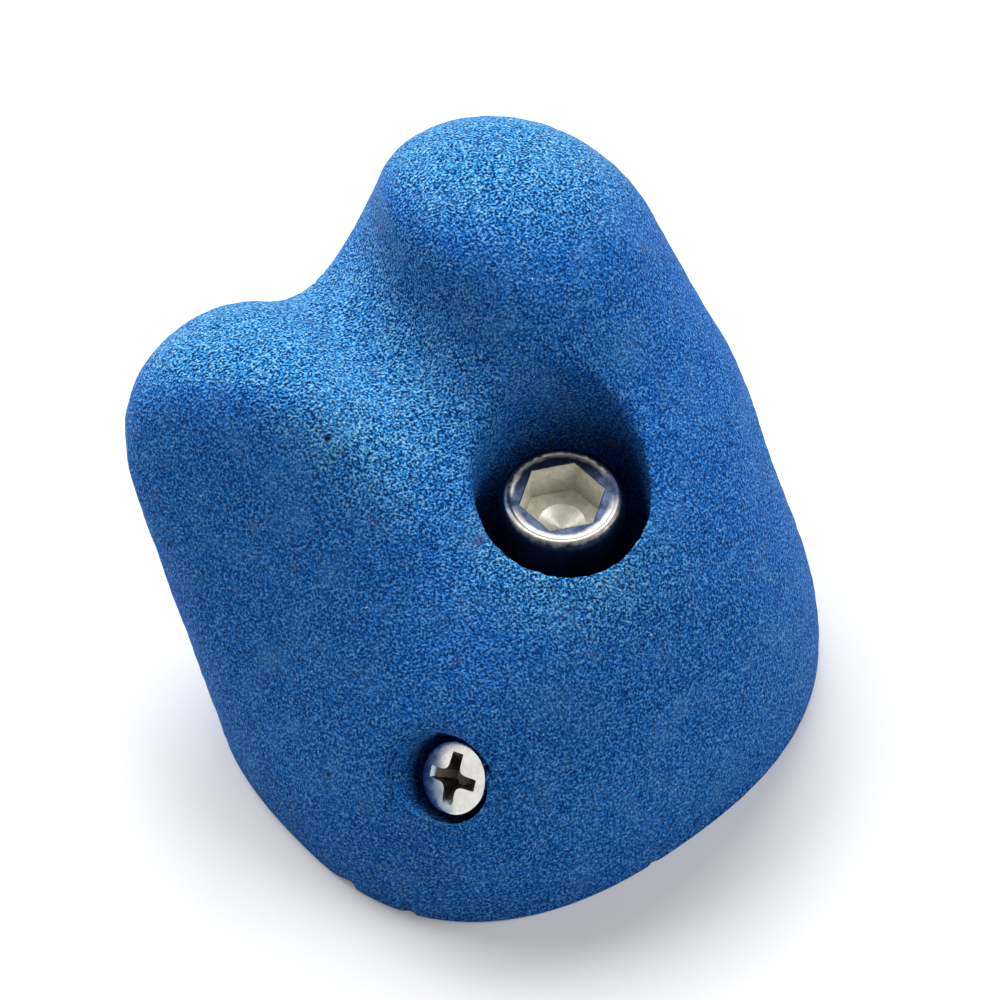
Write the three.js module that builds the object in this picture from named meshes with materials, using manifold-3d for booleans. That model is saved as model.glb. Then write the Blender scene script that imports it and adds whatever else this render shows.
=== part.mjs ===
// Climbing hold with its wall bolt and set screw, in millimetres.
// The wall side is the plane z = 0 and +Z points out of the wall. The bolt's axis is the Z axis.
// +Y is the side of the two knuckles, which points up when the hold is on a wall.
import * as THREE from 'three';
import { mergeVertices } from 'three/addons/utils/BufferGeometryUtils.js';
import Module from 'manifold-3d';

const wasm = await Module();
wasm.setup();

// The wall bolt: a socket head cap screw, M10 x 30, raised in its hole until its end is just off the wall side.
const boltThread = 10;
const boltLength = 30;
const boltHeadWidth = 16;
const boltHeadHeight = 10;
const boltLift = 1.2;
const boltEdgeAcross = 0.95;
const boltEdgeUp = 1.4;
const boltDishWall = 1.5;
const boltDishDepth = 0.13;
const boltEndChamfer = 1.2;
const socketAcrossFlats = 9.65;
const socketDepth = 5.8;
const socketPilotWidth = 7.4;
const socketPilotDepth = 1.5;
const socketTurnDeg = -1;

// The steel ring cast into the resin, which the bolt's head pulls against.
const ringBore = 11;
const ringWidth = 20;
const ringThickness = 2.5;
const ringCornerChamfer = 0.4;

// The hole for the bolt. Its rim is crisp at the front and runs softly into the groove at the back.
const seatHeight = 9;
const recessWidth = 22;
const boltHoleWidth = 11;
const frontRimRound = 0.9;
const backRimRound = 2.2;

// The set screw: countersunk head, cross recess, 5 x 30, leaning over towards -X.
const screwThread = 5;
const screwLength = 30;
const screwHeadWidth = 9.3;
const screwHeadDome = 0.5;
const screwDomeShare = 0.75;
const screwHeadEdge = 0.5;
const screwHeadConeDeg = 90;
const screwTipLength = 5;
const screwTipWidth = 0.8;
const screwLeanDeg = 47;
const crossSpan = 6.6;
const crossWing = 1.35;
const crossDepth = 2.6;
const crossCoreWidth = 2.9;
const crossEndWidth = 1.4;
const crossTurnDeg = 20;

// The hole for the set screw, set in from the left end of the heel and back from its middle.
const screwHoleWidth = 5.8;
const screwRecessWidth = 11.6;
const screwRecessSlipX = -0.43;
const screwRecessSlipY = 0.61;
const screwDriveTravel = 15;
const screwInset = 8.2;
const screwSetback = 6.6;

// Clearances and the overrun of the cutting tools.
const seatGap = 0.3;
const floorGap = 0.3;
const cutOverrun = 2;
const toolReach = 70;
const recessOutReach = 12;

// The resin body is one smooth mass. The heel is a low dome, and its oval outline bulges a little at three
// corners.
const heelCentreX = -1.8;
const heelCentreY = -4.6;
const heelHalfWidth = 36.6;
const heelHalfDepth = 25.6;
const heelHeight = 36.9;
const heelFullness = 1.9;
const heelCorners = 3;
const heelCornerShare = 0.028;
const heelCornerTurnDeg = -44;
const footRound = 0.45;

// Two knuckles stand on the heel's back half. The right one is higher, thicker and further forward.
const knuckleSpread = 18;
const knuckleReach = 32;
const knuckleHeight = 39.5;
const leftTipRadius = 20.9;
const leftRootReach = 15.4;
const leftRootHeight = 6.9;
const leftRootRadius = 21.3;
const rightTipInset = 4.2;
const rightTipSetback = 3.7;
const rightTipRise = 2.8;
const rightTipRadius = 24.8;
const rightRootInset = 3.8;
const rightRootReach = 17.3;
const rightRootHeight = 27.8;
const rightRootRadius = 24.8;

// The left knuckle is dressed flat on its top and on its outer flank. Each flat is set by the way it faces
// and by its distance from the middle of the knuckle's tip.
const topFlatTurnDeg = 86;
const topFlatRiseDeg = 70.5;
const topFlatReach = 14.4;
const flankFlatTurnDeg = 197;
const flankFlatRiseDeg = 29.5;
const flankFlatReach = 11.5;
const flatBlend = 2.4;

// The finger groove is scooped out between the knuckles by a leaning rod, from the bolt to the back.
const grooveStartX = -7.7;
const grooveStartY = 15.3;
const grooveStartRise = 16.8;
const grooveEndX = 2.7;
const grooveEndY = 50.3;
const grooveEndRise = 9.9;
const grooveRadius = 2.8;

const massBlend = 8.6;
const grooveBlend = 8.8;
const bodyCoreHeight = 14;
const bodyReach = 95;

// Facets.
const bodyAround = 96;
const outsideRows = 32;
const roundSides = 48;
const smallSides = 32;
const cornerSteps = 4;
const searchSteps = 40;

const blue = new THREE.MeshStandardMaterial({ color: 0x2a67a8, roughness: 0.95, metalness: 0 });
const zinc = new THREE.MeshStandardMaterial({ color: 0x9aa0a8, roughness: 0.3, metalness: 1 });
const galvanised = new THREE.MeshStandardMaterial({ color: 0xc9c8c2, roughness: 0.35, metalness: 1 });
const plainSteel = new THREE.MeshStandardMaterial({ color: 0x8d9094, roughness: 0.45, metalness: 1 });

const rad = THREE.MathUtils.degToRad;
const up = new THREE.Vector3(0, 0, 1);

const leftRoot = new THREE.Vector3(-knuckleSpread, leftRootReach, leftRootHeight);
const leftTip = new THREE.Vector3(-knuckleSpread, knuckleReach, knuckleHeight);
const rightRoot = new THREE.Vector3(knuckleSpread - rightRootInset, rightRootReach, rightRootHeight);
const rightTip = new THREE.Vector3(
  knuckleSpread - rightTipInset,
  knuckleReach - rightTipSetback,
  knuckleHeight + rightTipRise,
);
const grooveStart = new THREE.Vector3(grooveStartX, grooveStartY, knuckleHeight + grooveStartRise);
const grooveEnd = new THREE.Vector3(grooveEndX, grooveEndY, knuckleHeight + grooveEndRise);

// Distance from a point to the heel, negative inside.
function heelField(p) {
  const x = p.x - heelCentreX;
  const y = p.y - heelCentreY;
  const corners = Math.cos(heelCorners * (Math.atan2(y, x) - rad(heelCornerTurnDeg)));
  const across = Math.hypot(x / heelHalfWidth, y / heelHalfDepth) / (1 + heelCornerShare * corners);
  const rise = Math.abs(p.z) / heelHeight;
  const share = (across ** heelFullness + rise ** heelFullness) ** (1 / heelFullness);
  return ((share - 1) * Math.hypot(x, y, p.z)) / share;
}

// Distance to a finger-like mass whose radius runs evenly from one end to the other, negative inside.
function fingerField(p, start, end, startRadius, endRadius) {
  const line = end.clone().sub(start);
  const along = p.clone().sub(start).dot(line) / line.lengthSq();
  const share = THREE.MathUtils.clamp(along, 0, 1);
  const nearest = start.clone().addScaledVector(line, share);
  return p.distanceTo(nearest) - THREE.MathUtils.lerp(startRadius, endRadius, share);
}

// Distance to a flat face that keeps the given distance from a centre, negative on the centre's side.
function flatField(p, centre, turnDeg, riseDeg, reach) {
  const facing = new THREE.Vector3(Math.cos(rad(riseDeg)), 0, Math.sin(rad(riseDeg)));
  return p.clone().sub(centre).dot(facing.applyAxisAngle(up, rad(turnDeg))) - reach;
}

// The least of some distances, with the corners between them melted over the length of the blend.
function smoothLeast(values, blend) {
  const least = Math.min(...values);
  const sum = values.reduce((total, value) => total + Math.exp((least - value) / blend), 0);
  return least - blend * Math.log(sum);
}

function smoothMost(values, blend) {
  return -smoothLeast(values.map((value) => -value), blend);
}

function leftKnuckleField(p) {
  const knuckle = [
    fingerField(p, leftRoot, leftTip, leftRootRadius, leftTipRadius),
    flatField(p, leftTip, topFlatTurnDeg, topFlatRiseDeg, topFlatReach),
    flatField(p, leftTip, flankFlatTurnDeg, flankFlatRiseDeg, flankFlatReach),
  ];
  return smoothMost(knuckle, flatBlend);
}

// The whole body: the masses melt together, and the groove is scooped out of them with soft edges.
function bodyField(p) {
  const masses = [
    heelField(p),
    leftKnuckleField(p),
    fingerField(p, rightRoot, rightTip, rightRootRadius, rightTipRadius),
  ];
  const mass = smoothLeast(masses, massBlend);
  const groove = fingerField(p, grooveStart, grooveEnd, grooveRadius, grooveRadius);
  return smoothMost([mass, -groove], grooveBlend);
}

// The point where a ray from a start inside the body leaves it.
function leavingPoint(start, direction) {
  let inside = 0;
  let outside = bodyReach;
  for (let step = 0; step < searchSteps; step += 1) {
    const middle = (inside + outside) / 2;
    const within = bodyField(start.clone().addScaledVector(direction, middle)) < 0;
    inside = within ? middle : inside;
    outside = within ? outside : middle;
  }
  return start.clone().addScaledVector(direction, (inside + outside) / 2);
}

// The outside of one column, from its foot to the shoulder of the recess, found along rays from the core.
function outsidePoints(outwards, side, shoulder) {
  const core = new THREE.Vector3(0, 0, bodyCoreHeight);
  const riseTo = (p) => Math.atan2(p.z - core.z, p.dot(outwards));
  const points = [];
  for (let row = 1; row < outsideRows; row += 1) {
    const rise = THREE.MathUtils.lerp(riseTo(side), riseTo(shoulder), row / outsideRows);
    const direction = outwards.clone().multiplyScalar(Math.cos(rise)).setZ(Math.sin(rise));
    points.push(leavingPoint(core, direction));
  }
  return points;
}

// One upright cut through the bolt's axis: from the foot of the bore over the flat back, up the outside,
// round the rim, down the recess wall, and over the seat and the pocket of the ring to the top of the bore.
function bodyColumn(angle) {
  const outwards = new THREE.Vector3(Math.cos(angle), Math.sin(angle), 0);
  const at = (radius, height) => outwards.clone().multiplyScalar(radius).setZ(height);
  const bent = (...corners) => new THREE.QuadraticBezierCurve3(...corners).getPoints(cornerSteps);
  const recess = recessWidth / 2;
  const pocket = ringWidth / 2 + seatGap;
  const pocketFoot = seatHeight - ringThickness - seatGap;
  const rimRound = THREE.MathUtils.lerp(frontRimRound, backRimRound, (1 + Math.sin(angle)) / 2);
  const foot = leavingPoint(at(0, 0), outwards);
  const side = leavingPoint(at(0, footRound), outwards);
  const rim = leavingPoint(at(recess, bodyCoreHeight), up);
  const shoulder = leavingPoint(at(recess + rimRound, bodyCoreHeight), up);
  return [
    at(boltHoleWidth / 2, 0),
    ...bent(at(foot.dot(outwards) - footRound, 0), foot, side),
    ...outsidePoints(outwards, side, shoulder),
    ...bent(shoulder, rim, rim.clone().addScaledVector(up, -rimRound)),
    at(recess, seatHeight),
    at(pocket, seatHeight),
    at(pocket, pocketFoot),
    at(boltHoleWidth / 2, pocketFoot),
  ];
}

// The columns stand side by side round the bolt's axis, and each closes on itself.
function bodyGeometry() {
  const columns = [];
  for (let turn = 0; turn < bodyAround; turn += 1) {
    columns.push(bodyColumn((turn / bodyAround) * 2 * Math.PI));
  }
  const rows = columns[0].length;
  const at = (turn, row) => (turn % bodyAround) * rows + (row % rows);
  const faces = [];
  for (let turn = 0; turn < bodyAround; turn += 1) {
    for (let row = 0; row < rows; row += 1) {
      faces.push(at(turn, row), at(turn + 1, row), at(turn + 1, row + 1));
      faces.push(at(turn, row), at(turn + 1, row + 1), at(turn, row + 1));
    }
  }
  const geometry = new THREE.BufferGeometry().setFromPoints(columns.flat());
  geometry.setIndex(faces);
  return geometry;
}

function toSolid(geometry) {
  const bare = geometry.clone();
  bare.deleteAttribute('normal');
  bare.deleteAttribute('uv');
  const merged = mergeVertices(bare);
  return new wasm.Manifold(
    new wasm.Mesh({
      numProp: 3,
      vertProperties: merged.getAttribute('position').array,
      triVerts: new Uint32Array(merged.index.array),
    }),
  );
}

function toGeometry(solid) {
  const mesh = solid.getMesh();
  const geometry = new THREE.BufferGeometry();
  geometry.setAttribute('position', new THREE.BufferAttribute(new Float32Array(mesh.vertProperties), 3));
  geometry.setIndex(new THREE.BufferAttribute(new Uint32Array(mesh.triVerts), 1));
  return geometry;
}

// A solid turned about the Z axis from a profile of [radius, height] pairs that runs upwards outside.
function turned(profile, sides) {
  const points = profile.map(([radius, height]) => new THREE.Vector2(radius, height));
  return new THREE.LatheGeometry(points, sides).rotateX(Math.PI / 2);
}

// A rounded edge in a turned profile, a quarter of an oval from its outermost point up to its highest.
function quarterOval(centreRadius, centreHeight, across, upwards) {
  const points = [];
  for (let step = 0; step <= cornerSteps; step += 1) {
    const angle = (step / cornerSteps) * (Math.PI / 2);
    points.push([centreRadius + across * Math.cos(angle), centreHeight + upwards * Math.sin(angle)]);
  }
  return points;
}

// Moves a shape made about the Z axis, with its face at z = 0, onto the leaning axis of the set screw.
function ontoScrewAxis(object) {
  const faceHeight = floorGap + screwLength * Math.cos(rad(screwLeanDeg));
  object.position.set(heelCentreX - heelHalfWidth + screwInset, heelCentreY - screwSetback, faceHeight);
  object.rotation.y = -rad(screwLeanDeg);
  object.updateMatrixWorld(true);
  return object;
}

// The height of the cone under the head, down to the width given.
function screwCone(width) {
  return (screwHeadWidth - width) / 2 / Math.tan(rad(screwHeadConeDeg / 2));
}

// The bore and its cone are on the screw's axis, and the cone is parallel to the one under the head, which lands
// on it. The wider recess above them lies a little off the axis, so the head stands nearer to one side of it.
function screwHoleTool() {
  const seat = screwHeadWidth / 2 + seatGap;
  const coneFoot = -screwHeadEdge - screwCone(screwHoleWidth) - screwDriveTravel - seatGap;
  const coneTop = coneFoot + (seat - screwHoleWidth / 2) / Math.tan(rad(screwHeadConeDeg / 2));
  const bore = turned(
    [
      [0, -toolReach],
      [screwHoleWidth / 2, -toolReach],
      [screwHoleWidth / 2, coneFoot],
      [seat, coneTop],
      [seat, recessOutReach],
      [0, recessOutReach],
    ],
    roundSides,
  );
  const recess = turned(
    [
      [0, coneTop],
      [screwRecessWidth / 2, coneTop],
      [screwRecessWidth / 2, recessOutReach],
      [0, recessOutReach],
    ],
    roundSides,
  );
  recess.translate(screwRecessSlipX, screwRecessSlipY, 0);
  const place = ontoScrewAxis(new THREE.Object3D()).matrixWorld;
  return toSolid(bore.applyMatrix4(place)).add(toSolid(recess.applyMatrix4(place)));
}

function holdBody() {
  const solid = toSolid(bodyGeometry()).subtract(screwHoleTool());
  return new THREE.Mesh(toGeometry(solid), blue);
}

// The ring stands with its lower face at z = 0.
function seatRing() {
  const outer = ringWidth / 2;
  const inner = ringBore / 2;
  const shape = turned(
    [
      [inner, 0],
      [outer, 0],
      [outer, ringThickness - ringCornerChamfer],
      [outer - ringCornerChamfer, ringThickness],
      [inner + ringCornerChamfer, ringThickness],
      [inner, ringThickness - ringCornerChamfer],
      [inner, 0],
    ],
    roundSides,
  );
  return new THREE.Mesh(shape, plainSteel);
}

// The hexagon socket with the shallow cone that the drill leaves at its foot, cut from the given height.
function socketTool(faceHeight) {
  const corner = socketAcrossFlats / 2 / Math.cos(Math.PI / 6);
  const socket = new THREE.CylinderGeometry(corner, corner, socketDepth + cutOverrun, 6);
  socket.rotateX(Math.PI / 2).rotateZ(rad(socketTurnDeg));
  socket.translate(0, 0, faceHeight - socketDepth / 2 + cutOverrun / 2);
  const pilot = new THREE.ConeGeometry(socketPilotWidth / 2, socketPilotDepth, smallSides);
  pilot.rotateX(-Math.PI / 2).translate(0, 0, faceHeight - socketDepth - socketPilotDepth / 2);
  return toSolid(socket).add(toSolid(pilot));
}

// The bolt stands with the end of its thread at z = 0. Its face is dished inside a raised edge.
function wallBolt() {
  const headTop = boltLength + boltHeadHeight;
  const shank = boltThread / 2;
  const head = boltHeadWidth / 2;
  const outside = turned(
    [
      [0, 0],
      [shank - boltEndChamfer, 0],
      [shank, boltEndChamfer],
      [shank, boltLength],
      [head, boltLength],
      ...quarterOval(head - boltEdgeAcross, headTop - boltEdgeUp, boltEdgeAcross, boltEdgeUp),
      [head - boltDishWall, headTop - boltDishDepth],
      [0, headTop - boltDishDepth],
    ],
    roundSides,
  );
  const solid = toSolid(outside).subtract(socketTool(headTop - boltDishDepth));
  return new THREE.Mesh(toGeometry(solid), zinc);
}

// One slot of the cross: a flat wedge, full size at the face and narrower at its foot.
function crossSlotTool() {
  const shape = new THREE.Shape();
  shape.moveTo(-crossSpan / 2, cutOverrun);
  shape.lineTo(-crossSpan / 2, 0);
  shape.lineTo(-crossEndWidth / 2, -crossDepth);
  shape.lineTo(crossEndWidth / 2, -crossDepth);
  shape.lineTo(crossSpan / 2, 0);
  shape.lineTo(crossSpan / 2, cutOverrun);
  const slot = new THREE.ExtrudeGeometry(shape, { depth: crossWing, bevelEnabled: false });
  return slot.translate(0, 0, -crossWing / 2).rotateX(Math.PI / 2).rotateZ(rad(crossTurnDeg));
}

// The screw hangs below its face, which is at z = 0.
function setScrew() {
  const head = screwHeadWidth / 2;
  const neck = screwThread / 2;
  const outside = turned(
    [
      [0, -screwLength],
      [screwTipWidth / 2, -screwLength],
      [neck, -screwLength + screwTipLength],
      [neck, -screwHeadEdge - screwCone(screwThread)],
      [head, -screwHeadEdge],
      [head, 0],
      [head / 2, screwHeadDome * screwDomeShare],
      [0, screwHeadDome],
    ],
    smallSides,
  );
  const slot = crossSlotTool();
  const coreLength = crossDepth + cutOverrun;
  const core = new THREE.CylinderGeometry(crossCoreWidth / 2, crossEndWidth / 2, coreLength, smallSides);
  core.rotateX(Math.PI / 2).translate(0, 0, (cutOverrun - crossDepth) / 2);
  const solid = toSolid(outside)
    .subtract(toSolid(slot))
    .subtract(toSolid(slot.clone().rotateZ(Math.PI / 2)))
    .subtract(toSolid(core));
  return new THREE.Mesh(toGeometry(solid), galvanised);
}

function named(mesh, name) {
  mesh.name = name;
  return mesh;
}

const hold = new THREE.Group();
hold.add(named(holdBody(), 'hold_body'));

const ring = named(seatRing(), 'bolt_seat_ring');
ring.position.z = seatHeight - ringThickness;
hold.add(ring);

const bolt = named(wallBolt(), 'wall_bolt');
bolt.position.z = boltLift;
hold.add(bolt);

hold.add(named(ontoScrewAxis(setScrew()), 'set_screw'));

export default hold;
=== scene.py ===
# A cast resin climbing hold with its wall bolt, seat ring and set screw, lying on a pale floor.
# Lengths in the dictionaries are millimetres, angles are degrees, and meshes are written in metres.
import itertools
import math

import bpy
import numpy as np
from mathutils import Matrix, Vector


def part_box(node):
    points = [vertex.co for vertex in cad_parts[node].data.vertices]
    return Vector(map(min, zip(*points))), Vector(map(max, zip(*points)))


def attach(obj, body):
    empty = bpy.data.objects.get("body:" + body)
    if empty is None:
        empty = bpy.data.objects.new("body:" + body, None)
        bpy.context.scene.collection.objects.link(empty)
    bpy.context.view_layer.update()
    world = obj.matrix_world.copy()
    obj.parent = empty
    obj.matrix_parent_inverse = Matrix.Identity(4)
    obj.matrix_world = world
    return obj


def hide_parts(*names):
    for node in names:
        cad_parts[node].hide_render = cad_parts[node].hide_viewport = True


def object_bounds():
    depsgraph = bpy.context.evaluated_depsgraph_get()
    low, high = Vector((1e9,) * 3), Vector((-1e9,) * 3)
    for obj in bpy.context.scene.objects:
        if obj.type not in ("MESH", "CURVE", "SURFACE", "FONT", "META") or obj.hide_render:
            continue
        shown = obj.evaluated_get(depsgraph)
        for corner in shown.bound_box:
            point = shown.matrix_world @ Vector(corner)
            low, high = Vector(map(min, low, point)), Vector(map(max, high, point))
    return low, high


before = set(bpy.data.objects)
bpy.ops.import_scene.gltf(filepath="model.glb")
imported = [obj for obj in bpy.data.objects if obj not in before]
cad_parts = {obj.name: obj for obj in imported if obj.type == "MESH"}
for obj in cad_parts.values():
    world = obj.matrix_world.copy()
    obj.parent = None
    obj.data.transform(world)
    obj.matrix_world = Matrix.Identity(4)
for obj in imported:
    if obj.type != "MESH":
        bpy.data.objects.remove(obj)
cadBox = [list(corner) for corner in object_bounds()]
print("frame loaded, CAD box", cadBox)

mm = 0.001
boltBox = [np.array(corner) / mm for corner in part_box("wall_bolt")]
ringBox = [np.array(corner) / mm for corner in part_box("bolt_seat_ring")]


def seenFrom(azimuth, elevation):
    # The direction towards a viewer, who stands at -Y for azimuth 0 and at +X for azimuth 90.
    azimuth = math.radians(azimuth)
    elevation = math.radians(elevation)
    level = math.cos(elevation)
    return Vector((math.sin(azimuth) * level, -math.cos(azimuth) * level, math.sin(elevation)))


def addObject(name, data):
    made = bpy.data.objects.new(name, data)
    bpy.context.scene.collection.objects.link(made)
    return made


# Camera: it looks down over the corner of the set screw, as the photograph does.
cameraView = {
    "target": (-5.6, 5.5, 40.3),
    "azimuth": -44.5,
    "elevation": 54,
    "distance": 600,
    "focalLength": 171.0,
    "sensor": 36,
    "clipping": (10, 50000),
}


def makeCamera():
    view = cameraView
    back = seenFrom(view["azimuth"], view["elevation"])
    lens = bpy.data.cameras.new("photo_camera")
    lens.lens = view["focalLength"]
    lens.sensor_width = view["sensor"]
    lens.clip_start = view["clipping"][0] * mm
    lens.clip_end = view["clipping"][1] * mm
    camera = addObject("photo_camera", lens)
    camera.location = (Vector(view["target"]) + back * view["distance"]) * mm
    camera.rotation_euler = (-back).to_track_quat("-Z", "Y").to_euler()
    bpy.context.scene.camera = camera


makeCamera()
print("camera placed")


# Mesh helpers. A surface is a grid of points with rows along a profile and columns round an axis.
def gridFaces(rows, columns, loopRows):
    # Each face joins a point with its neighbours in the next row and the next column.
    row, column = np.meshgrid(np.arange(rows if loopRows else rows - 1), np.arange(columns), indexing="ij")
    nextRow = (row + 1) % rows
    nextColumn = (column + 1) % columns
    corners = [(row, column), (row, nextColumn), (nextRow, nextColumn), (nextRow, column)]
    return np.stack([r * columns + c for r, c in corners], axis=-1).reshape(-1, 4)


def smoothMesh(mesh, sharpAngle):
    mesh.shade_smooth()
    mesh.set_sharp_from_angle(angle=math.radians(sharpAngle))


def makePiece(name, points, faces, sharpAngle):
    mesh = bpy.data.meshes.new(name)
    mesh.from_pydata((points.reshape(-1, 3) * mm).tolist(), [], faces)
    mesh.validate()
    smoothMesh(mesh, sharpAngle)
    return addObject(name, mesh)


def looped(name, grid, sharpAngle=40):
    # A grid whose rows and columns both close on themselves, so that it needs no caps.
    rows, columns = grid.shape[:2]
    return makePiece(name, grid, gridFaces(rows, columns, True).tolist(), sharpAngle)


def capped(name, grid, lowPole, highPole, sharpAngle=40):
    # A grid whose columns close on themselves and whose first and last rows close on a point each.
    rows, columns = grid.shape[:2]
    points = np.concatenate([grid.reshape(-1, 3), [lowPole, highPole]])
    column = np.arange(columns)
    nextColumn = (column + 1) % columns
    low = np.full(columns, rows * columns)
    lastRow = (rows - 1) * columns
    lowFan = np.stack([low, nextColumn, column], axis=-1)
    highFan = np.stack([low + 1, lastRow + column, lastRow + nextColumn], axis=-1)
    faces = gridFaces(rows, columns, False).tolist() + lowFan.tolist() + highFan.tolist()
    return makePiece(name, points, faces, sharpAngle)


def turnedGrid(radius, height, angle):
    # x = radius cos(angle), y = radius sin(angle), z = height, for rows of radius and height.
    radius, height, angle = np.broadcast_arrays(radius, height, angle)
    return np.stack([radius * np.cos(angle), radius * np.sin(angle), height], axis=-1)


def roundAngles(columns, start=0.0):
    # Even steps of angle once round, from a start in degrees.
    return np.radians(start) + np.arange(columns) * 2 * np.pi / columns


def quarterRound(centreRadius, centreHeight, across, up, steps):
    # radius = centre + across cos(t), height = centre + up sin(t), for t from 0 to a quarter turn.
    turn = np.linspace(0, np.pi / 2, steps)
    return list(zip(centreRadius + across * np.cos(turn), centreHeight + up * np.sin(turn)))


def cutWith(piece, tool):
    # Takes the tool away from the piece and leaves the result in the piece's mesh.
    cut = piece.modifiers.new("cut", "BOOLEAN")
    cut.operation = "DIFFERENCE"
    cut.solver = "EXACT"
    cut.object = tool
    graph = bpy.context.evaluated_depsgraph_get()
    made = bpy.data.meshes.new_from_object(piece.evaluated_get(graph))
    piece.modifiers.clear()
    piece.data = made
    bpy.data.objects.remove(tool)


def vectorsOf(owners, name):
    vectors = np.empty(len(owners) * 3)
    owners.foreach_get(name, vectors)
    return vectors.reshape(-1, 3)


def valueNoise(points, wavelength, seed, latticeSize=64):
    # Random values on a cubic lattice, eased between its corners with 3 t^2 - 2 t^3.
    table = np.random.default_rng(seed).uniform(-1, 1, (latticeSize,) * 3)
    cell = points / wavelength
    corner = np.floor(cell).astype(int)
    share = cell - corner
    share = share * share * (3 - 2 * share)
    total = np.zeros(len(points))
    for offset in itertools.product((0, 1), repeat=3):
        weight = np.prod(np.where(offset, share, 1 - share), axis=1)
        i, j, k = ((corner + offset) % latticeSize).T
        total += weight * table[i, j, k]
    return total


# The resin body: a heel and two knuckles melted together, with a finger groove scooped out between them.
# Knuckles and groove are two ends and their radii. A flat is its turn, its rise and its reach from the tip
# of the left knuckle.
resinShape = {
    "heelCentre": (-1.8, -4.6),
    "heelHalf": (36.6, 25.6),
    "heelHeight": 36.9,
    "heelFullness": 1.9,
    "heelCorners": 0.028,
    "heelCornerTurn": -44,
    "leftKnuckle": ((-18.0, 15.4, 6.9), (-18.0, 32.0, 39.5), 21.3, 20.9),
    "rightKnuckle": ((14.2, 17.3, 27.8), (13.8, 28.3, 42.3), 24.8, 24.8),
    "topFlat": (86, 70.5, 14.4),
    "flankFlat": (197, 29.5, 11.5),
    "groove": ((-7.7, 15.3, 56.3), (2.7, 50.3, 49.4), 2.8, 2.8),
    "flatBlend": 2.4,
    "massBlend": 8.6,
    "grooveBlend": 8.8,
    "coreHeight": 14.0,
    "reach": 95.0,
    "halvings": 36,
    "columns": 420,
    "outsideRows": 136,
    "wallRows": 44,
    "seatRows": 2,
    "pocketRows": 4,
    "pocketFloorRows": 5,
    "boreRows": 6,
    "backRows": 10,
}

# The bolt's recess and bore, and how far their edges and the foot of the body are rounded.
boltHole = {
    "recessRadius": 11.0,
    "boreRadius": 5.5,
    "seatGap": 0.3,
    "frontRound": 0.9,
    "backRound": 2.2,
    "footRound": 0.45,
    "roundSteps": 7,
}

# The set screw's face, its lean to the left and its length.
screwPlace = {
    "faceX": -30.2,
    "faceY": -11.2,
    "lean": 47.0,
    "length": 30.0,
    "floorGap": 0.3,
}

# The set screw's hole: bore, conical seat of the head, and a recess that has slipped to one side.
screwHole = {
    "boreRadius": 2.9,
    "recessRadius": 5.8,
    "neckDepth": 17.55,
    "seatRadius": 4.95,
    "seatDepth": 15.5,
    "seatEdge": 0.05,
    "slip": (-0.43, 0.61),
    "outReach": 12.0,
    "inReach": 70.0,
    "rimBlend": 0.7,
    "rimReach": 2.5,
    "columns": 96,
}


def softLeast(distances, blend):
    # The least of several distances with its corners melted: -blend log(sum of exp(-distance / blend)).
    least = np.minimum.reduce(distances)
    return least - blend * np.log(sum(np.exp((least - distance) / blend) for distance in distances))


def heelDistance(p):
    # An oval dome: share = (across^f + up^f)^(1/f), which is 1 on the surface. Its plan bulges a little at
    # three corners: across / (1 + corners cos(3 (angle - turn))).
    shape = resinShape
    fullness = shape["heelFullness"]
    x = p[..., 0] - shape["heelCentre"][0]
    y = p[..., 1] - shape["heelCentre"][1]
    turned = np.arctan2(y, x) - np.radians(shape["heelCornerTurn"])
    bulge = 1 + shape["heelCorners"] * np.cos(3 * turned)
    across = np.hypot(x / shape["heelHalf"][0], y / shape["heelHalf"][1]) / bulge
    up = np.abs(p[..., 2]) / shape["heelHeight"]
    share = (across ** fullness + up ** fullness) ** (1 / fullness)
    reach = np.sqrt(x * x + y * y + p[..., 2] ** 2)
    return (share - 1) * reach / share


def fingerDistance(p, start, end, startRadius, endRadius):
    # Distance to the nearest point of a line, less a radius that runs evenly from one end to the other.
    start = np.array(start)
    line = np.array(end) - start
    share = np.clip((p - start) @ line / (line @ line), 0, 1)
    nearest = start + share[..., None] * line
    return np.linalg.norm(p - nearest, axis=-1) - (startRadius + (endRadius - startRadius) * share)


def flatDistance(p, centre, turn, rise, reach):
    # Distance past a flat face that looks the way of the two angles and keeps its reach from the centre.
    turn, rise = math.radians(turn), math.radians(rise)
    facing = np.array([math.cos(turn) * math.cos(rise), math.sin(turn) * math.cos(rise), math.sin(rise)])
    return (p - np.array(centre)) @ facing - reach


def softMost(distances, blend):
    # The most of several distances, melted in the same way.
    return -softLeast([-distance for distance in distances], blend)


def massDistance(p):
    # Heel and knuckles melted together, the left knuckle with two flats on it, less the groove.
    shape = resinShape
    tip = shape["leftKnuckle"][1]
    flats = [flatDistance(p, tip, *shape[flat]) for flat in ("topFlat", "flankFlat")]
    left = softMost([fingerDistance(p, *shape["leftKnuckle"])] + flats, shape["flatBlend"])
    right = fingerDistance(p, *shape["rightKnuckle"])
    mass = softLeast([heelDistance(p), left, right], shape["massBlend"])
    return softMost([mass, -fingerDistance(p, *shape["groove"])], shape["grooveBlend"])


def screwAxis():
    # Centre of the set screw's face and the direction that its head looks in.
    lean = math.radians(screwPlace["lean"])
    foot = screwPlace["floorGap"] + screwPlace["length"] * math.cos(lean)
    face = np.array([screwPlace["faceX"], screwPlace["faceY"], foot])
    return face, np.array([-math.sin(lean), 0, math.cos(lean)])


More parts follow.
